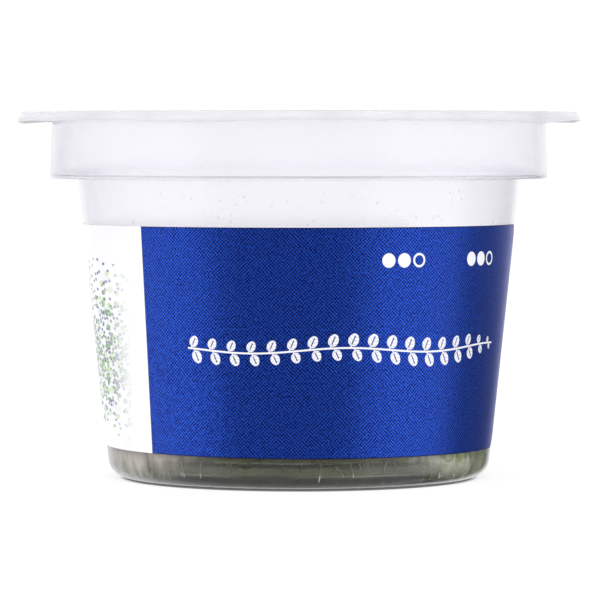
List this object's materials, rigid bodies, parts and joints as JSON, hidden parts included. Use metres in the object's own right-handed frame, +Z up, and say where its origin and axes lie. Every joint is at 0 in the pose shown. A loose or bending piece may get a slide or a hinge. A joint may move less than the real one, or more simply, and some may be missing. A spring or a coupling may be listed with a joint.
{
  "type": "aquarium carpet plant in a sealed culture cup",
  "caption": "Low carpet plant with small round leaves, rooted in culture gel inside a clear film-sealed plastic cup with a blue and white wrap-round label.",
  "frame": {"origin": "middle of the cup's base, on the surface it stands on", "axes": "+Z up along the cup's axis, -Y towards the middle of the label's blue front, +X to the right seen from the front"},
  "size_m": [0.0952, 0.0952, 0.0617],
  "materials": {
    "clear_plastic": "gloss",
    "clear_film": "gloss",
    "printed_label": "satin",
    "culture_gel": "gloss",
    "plant": "satin"
  },
  "bodies": {
    "root": {"cup": "clear_plastic", "sealing_film": "clear_film", "label": "printed_label", "gel": "culture_gel", "plantlet_1": "plant", "plantlet_2": "plant", "plantlet_3": "plant", "plantlet_4": "plant", "plantlet_5": "plant", "plantlet_6": "plant", "plantlet_7": "plant"}
  },
  "joints": []
}
